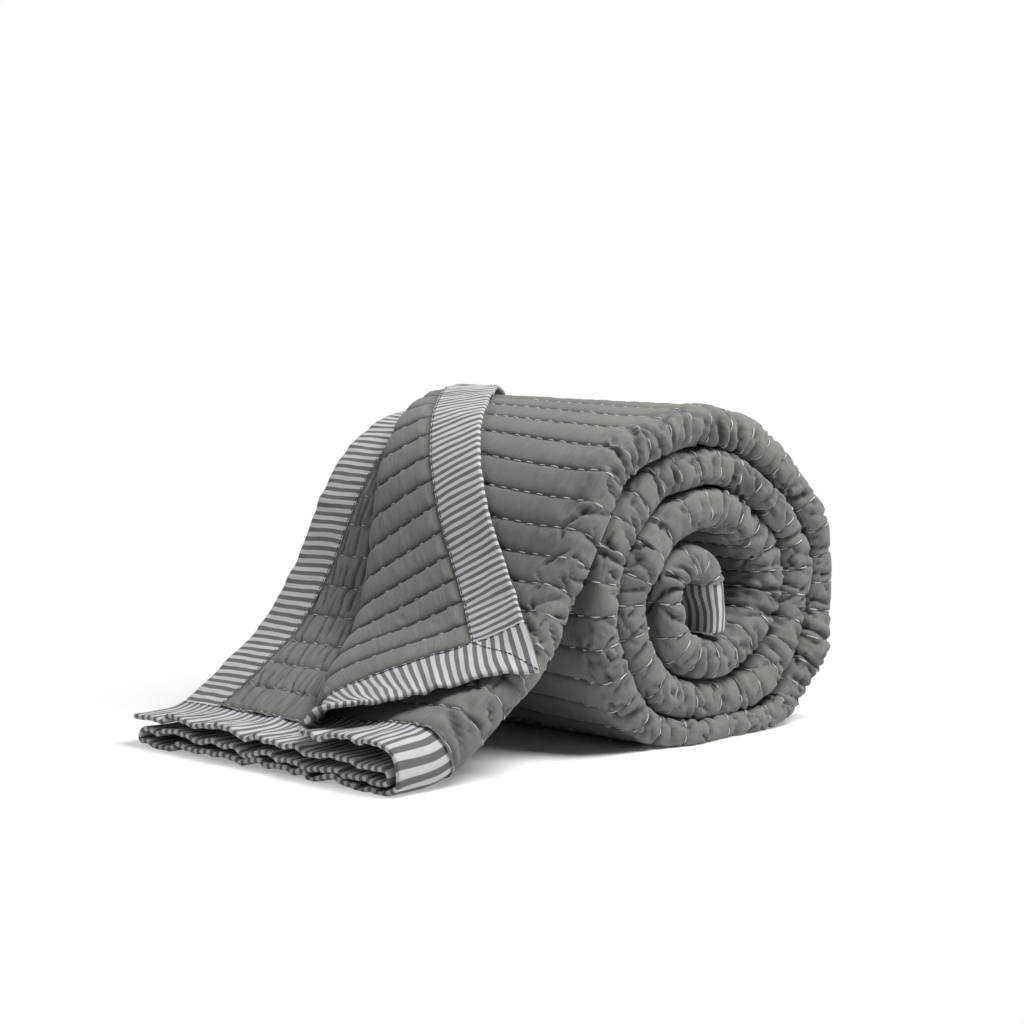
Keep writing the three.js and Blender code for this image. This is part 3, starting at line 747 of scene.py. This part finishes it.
# Each border's place on the flat throw, how much it crinkles in millimetres, and its own seed.
SECOND_SIDE = (at_second, 1.3, 71)
UPPER_SIDE = (at_upper, 1.2, 74)
LOOSE_END = (at_loose_end, 1.6, 77)
INNER_END = (at_inner_end, 0.8, 80)
side_second = border_piece("side_border_second", side_lengths, False, *SECOND_SIDE)
side_upper = border_piece("side_border_upper", side_lengths, True, *UPPER_SIDE)
loose_lengths = np.r_[np.arange(0, upper_end, 2.2), upper_end]
end_loose = border_piece("end_border_outer_end", loose_lengths, True, *LOOSE_END)
inner_lengths = np.r_[np.arange(0, upper_edge(LENGTH), 4.5), upper_edge(LENGTH)]
end_inner = border_piece("end_border_inner_end", inner_lengths, False, *INNER_END)

ticking = bpy.data.materials.new("striped_ticking")
ticking.use_nodes = True
nodes, links = ticking.node_tree.nodes, ticking.node_tree.links
flat = nodes.new("ShaderNodeAttribute")
flat.attribute_name = "flat"
parts = nodes.new("ShaderNodeSeparateXYZ")
links.new(flat.outputs["Vector"], parts.inputs[0])
wander = noise_of(nodes, links, flat.outputs["Vector"], (15, 26, 1), 1)
drift = mixed(nodes, links, "MULTIPLY", wander, 0.45)
STRIPE_PAIR = 8.6
pairs = mixed(nodes, links, "MULTIPLY", parts.outputs["X"], 1 / (STRIPE_PAIR * MM))
count = mixed(nodes, links, "ADD", pairs, drift)
stripe = nodes.new("ShaderNodeValToRGB")
stripe.color_ramp.interpolation = "EASE"
LIGHT, DARK = (0.50, 0.50, 0.512, 1), (0.104, 0.107, 0.112, 1)
stripe.color_ramp.elements[0].position, stripe.color_ramp.elements[0].color = 0.0, DARK
stripe.color_ramp.elements[1].position, stripe.color_ramp.elements[1].color = 0.07, LIGHT
for position, colour in ((0.50, LIGHT), (0.58, DARK), (1.0, DARK)):
    stripe.color_ramp.elements.new(position).color = colour
links.new(mixed(nodes, links, "FRACT", count, 0.0), stripe.inputs["Fac"])
weave = weave_of(nodes, links, flat.outputs["Vector"], 1300)
crumple = noise_of(nodes, links, flat.outputs["Vector"], (240, 60, 1), 3)
relief = nodes.new("ShaderNodeBump")
relief.inputs["Strength"].default_value = 0.5
relief.inputs["Distance"].default_value = 0.0009
links.new(crumple, relief.inputs["Height"])
cross = nodes.new("ShaderNodeBump")
cross.inputs["Strength"].default_value = 0.25
cross.inputs["Distance"].default_value = 0.0003
links.new(weave, cross.inputs["Height"])
links.new(relief.outputs["Normal"], cross.inputs["Normal"])
shader = nodes["Principled BSDF"]
shader.inputs["Roughness"].default_value = 0.85
shader.inputs["Sheen Weight"].default_value = 0.08
links.new(stripe.outputs["Color"], shader.inputs["Base Color"])
links.new(cross.outputs["Normal"], shader.inputs["Normal"])
for piece, node in (
    (side_second, "side_border_second_layer"),
    (side_upper, "side_border_upper_layer"),
    (end_loose, "end_border_loose"),
    (end_inner, "end_border_inner"),
):
    piece.data.materials.append(ticking)
    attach(piece, "root")
    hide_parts(node)
    declare_sheet(piece)

# ---- the borders' top-stitching ------------------------------------------------------------------------
# Short dark stitches close to each border's inner edge, which hold it down on the panel, both sides.

DASH, DASH_PITCH, DASH_INSET, DASH_RADIUS = 3.8, 5.6, 50.4, 0.55


def top_stitches(name, low, high, sides, to_flat, crinkle, seed):
    """A border's row of stitches, on one side or both, between two places along it."""
    draw = np.random.default_rng(seed)
    start = np.arange(low, high - DASH_PITCH, DASH_PITCH)
    start = start + draw.uniform(-0.5, 0.5, len(start))
    length = start[:, None] + DASH * np.linspace(0, 1, 4)
    meshes = []
    for side in sides:
        depth = DASH_INSET + draw.normal(0, 0.15, len(start))[:, None] + 0 * length
        swing, half = border_height(length, depth, crinkle, seed)
        point, outward = lie(*to_flat(depth, length))
        rise = swing + side * (half + 0.12)
        meshes.append((point + rise[..., None] * outward, side * outward))
    centre, outward = (np.concatenate(arrays) for arrays in zip(*meshes))
    return thread_mesh(name, centre, outward, DASH_RADIUS)


dark_thread = bpy.data.materials.new("dark_thread")
dark_thread.use_nodes = True
nodes, links = dark_thread.node_tree.nodes, dark_thread.node_tree.links
flat = nodes.new("ShaderNodeAttribute")
flat.attribute_name = "flat"
shade = nodes.new("ShaderNodeValToRGB")
shade.color_ramp.elements[0].color = (0.012, 0.012, 0.013, 1)
shade.color_ramp.elements[1].color = (0.04, 0.04, 0.042, 1)
links.new(noise_of(nodes, links, flat.outputs["Vector"], (1500, 1500, 40), 1), shade.inputs["Fac"])
links.new(shade.outputs["Color"], nodes["Principled BSDF"].inputs["Base Color"])
nodes["Principled BSDF"].inputs["Roughness"].default_value = 0.7
# The turned-back corner has one slanting row as well, from the panel's corner out to the border's tip.
step = np.arange(1.5, 50, 3.4)[:, None] + 2.7 * np.linspace(0, 1, 4)
swing, half = border_height(upper_end - step, step, *LOOSE_END[1:])
point, outward = lie(upper_end - step, step)
point = point + (swing - half - 0.1)[..., None] * outward
corner_row = thread_mesh("top_stitches_corner", point, -outward, 0.65)
for piece in (
    corner_row,
    top_stitches("top_stitches_second_layer", BORDER, 760, (-1,), *SECOND_SIDE),
    top_stitches("top_stitches_upper_layer", BORDER, 1300, (-1, 1), *UPPER_SIDE),
    top_stitches("top_stitches_outer_end", 4, upper_end, (-1, 1), *LOOSE_END),
    top_stitches("top_stitches_inner_end", 4, upper_edge(LENGTH), (-1, 1), *INNER_END),
):
    piece.data.materials.append(dark_thread)
    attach(piece, "root")

# ---- the studio ---------------------------------------------------------------------------------------
# A plain white floor and backdrop and soft light, with the camera a little above the roll and off its
# front corner.  The floor keeps a pale shadow.


def white_to_camera(nodes, links, shading, glow, share):
    """Mixes some plain white glow into a shading, for the camera and for what mirrors and lets through."""
    seen = nodes.new("ShaderNodeLightPath")
    ray = mixed(nodes, links, "MAXIMUM", seen.outputs["Is Camera Ray"], seen.outputs["Is Glossy Ray"])
    ray = mixed(nodes, links, "MAXIMUM", ray, seen.outputs["Is Transmission Ray"])
    mix = nodes.new("ShaderNodeMixShader")
    links.new(mixed(nodes, links, "MULTIPLY", ray, share), mix.inputs[0])
    links.new(shading, mix.inputs[1])
    links.new(glow, mix.inputs[2])
    return mix.outputs[0]


mesh = bpy.data.meshes.new("floor")
mesh.from_pydata([(-30, -30, 0), (30, -30, 0), (30, 30, 0), (-30, 30, 0)], [], [(0, 1, 2, 3)])
floor = bpy.data.objects.new("floor", mesh)
bpy.context.scene.collection.objects.link(floor)
paper = bpy.data.materials.new("white_floor")
paper.use_nodes = True
nodes, links = paper.node_tree.nodes, paper.node_tree.links
nodes["Principled BSDF"].inputs["Base Color"].default_value = (0.9, 0.9, 0.9, 1)
nodes["Principled BSDF"].inputs["Roughness"].default_value = 1.0
nodes["Principled BSDF"].inputs["Specular IOR Level"].default_value = 0.0
glow = nodes.new("ShaderNodeEmission")
glow.inputs["Strength"].default_value = 1.0
# The shadow fades out away from the throw, into plain white.
spot = nodes.new("ShaderNodeNewGeometry")
away = nodes.new("ShaderNodeVectorMath")
away.operation = "LENGTH"
links.new(spot.outputs["Position"], away.inputs[0])
fade = nodes.new("ShaderNodeMapRange")
for name, value in (("From Min", 0.15), ("From Max", 0.5), ("To Min", 0.0), ("To Max", 1.0)):
    fade.inputs[name].default_value = value
links.new(away.outputs["Value"], fade.inputs["Value"])
plain = nodes["Principled BSDF"].outputs[0]
surface = white_to_camera(nodes, links, plain, glow.outputs[0], fade.outputs["Result"])
links.new(surface, nodes["Material Output"].inputs["Surface"])
floor.data.materials.append(paper)

world = bpy.data.worlds.new("studio")
bpy.context.scene.world = world
world.use_nodes = True
nodes, links = world.node_tree.nodes, world.node_tree.links
nodes["Background"].inputs["Color"].default_value = (1, 1, 1, 1)
nodes["Background"].inputs["Strength"].default_value = 0.06
white = nodes.new("ShaderNodeBackground")
white.inputs["Color"].default_value = (1, 1, 1, 1)
white.inputs["Strength"].default_value = 1.0
surface = white_to_camera(nodes, links, nodes["Background"].outputs[0], white.outputs[0], 1.0)
links.new(surface, nodes["World Output"].inputs["Surface"])


def softbox(name, watts, size, place, aim):
    """A square soft light, in metres, turned to what it lights."""
    data = bpy.data.lights.new(name, "AREA")
    data.energy, data.size = watts, size
    lamp = bpy.data.objects.new(name, data)
    lamp.location = place
    towards = [a - b for a, b in zip(aim, place)]
    turn = math.atan2(towards[1], towards[0]) - math.pi / 2
    tilt = math.atan2(towards[2], math.hypot(towards[0], towards[1])) + math.pi / 2
    lamp.rotation_euler = (tilt, 0, turn)
    bpy.context.scene.collection.objects.link(lamp)


MIDDLE = (0, 0, 0.15)
softbox("key", 84, 1.1, (0.5, -1.1, 2.2), MIDDLE)
softbox("back", 12, 1.4, (-1.2, 0.8, 1.9), MIDDLE)

# Where the camera stands, in the strip's own millimetres, and how far it looks down and round.
CAMERA_SPOT = np.array([-1739.4, -1732.0, 426.0])
LOOKS_DOWN, LOOKS_ROUND = math.radians(5.3), math.radians(45)
camera_data = bpy.data.cameras.new("camera")
camera_data.sensor_width = 36
camera_data.lens = 94.92
camera_data.clip_end = 80
camera = bpy.data.objects.new("camera", camera_data)
camera.location = (CAMERA_SPOT + SHIFT) * MM
camera.rotation_euler = (math.pi / 2 - LOOKS_DOWN, 0, -LOOKS_ROUND)
bpy.context.scene.collection.objects.link(camera)
bpy.context.scene.camera = camera
bpy.context.scene.view_settings.view_transform = "Standard"
